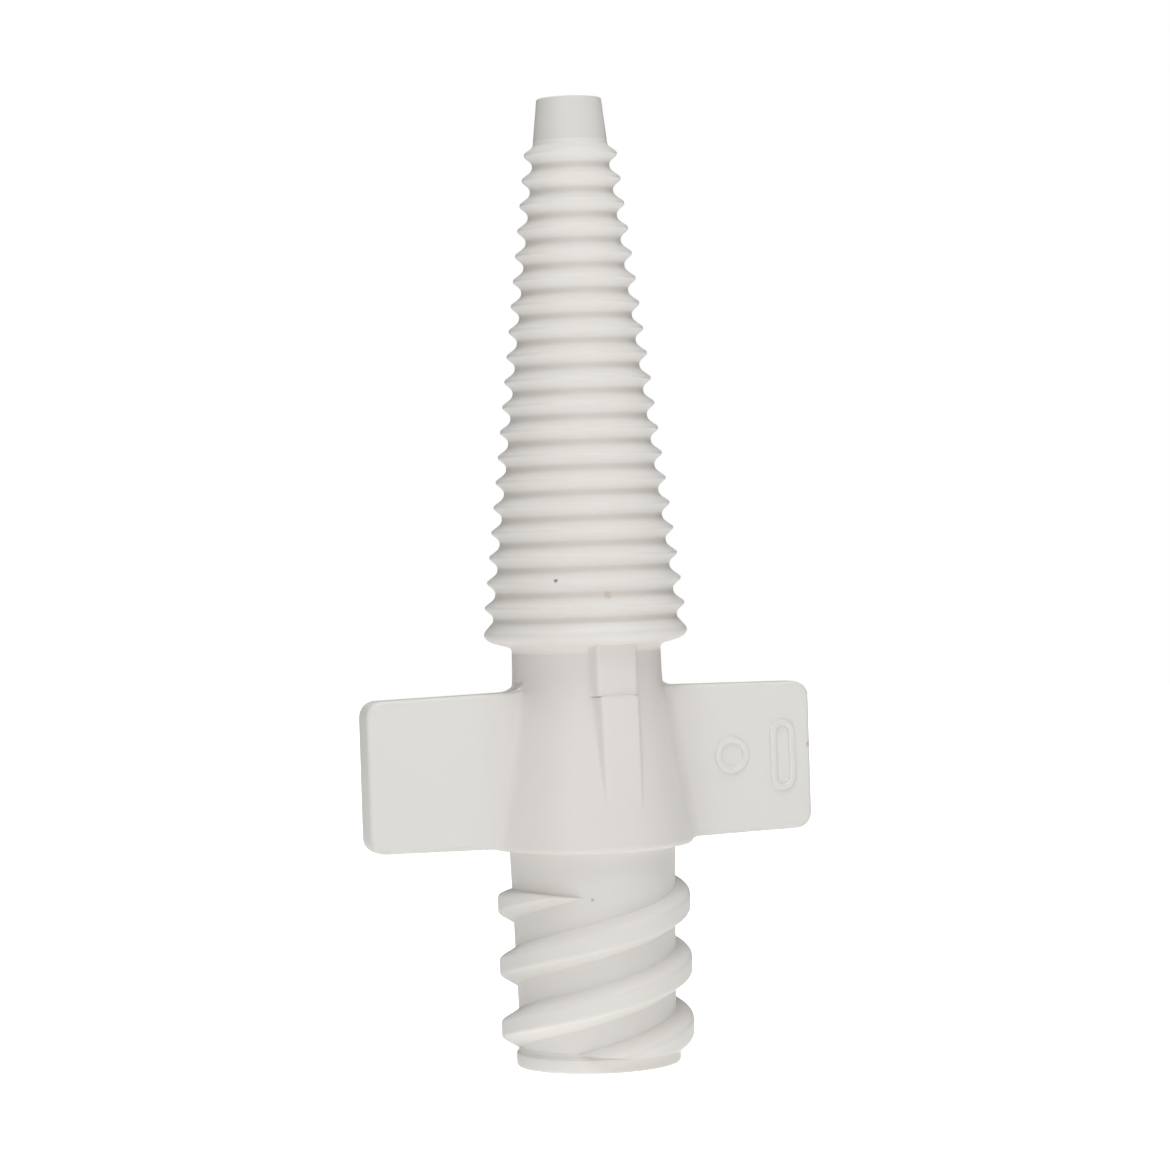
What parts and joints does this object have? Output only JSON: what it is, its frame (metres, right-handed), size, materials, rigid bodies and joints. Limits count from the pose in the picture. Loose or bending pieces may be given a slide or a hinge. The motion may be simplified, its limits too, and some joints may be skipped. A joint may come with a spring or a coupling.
{
  "type": "winged luer lock tubing adapter",
  "caption": "Tapered ribbed stem for soft tubing on a hub with two flat finger wings, ending in a female luer lock socket with an external twin-start thread.",
  "frame": {"origin": "centre of the luer socket's end face, on the adapter's axis", "axes": "+Z along the axis from the socket to the stem's tip; the two wings lie along X; the key with the marks' side of the wing faces -Y"},
  "size_m": [0.019, 0.0082, 0.0386],
  "materials": {
    "white_moulding": "satin off-white moulded plastic"
  },
  "bodies": {
    "root": {"tip_spigot": "white_moulding", "ribbed_cone": "white_moulding", "stem_flange": "white_moulding", "neck": "white_moulding", "hub": "white_moulding", "front_key": "white_moulding", "rear_key": "white_moulding", "left_wing": "white_moulding", "right_wing": "white_moulding", "wing_roundel": "white_moulding", "wing_badge": "white_moulding", "luer_socket": "white_moulding", "thread_start_a": "white_moulding", "thread_start_b": "white_moulding", "socket_lip": "white_moulding"}
  },
  "joints": []
}
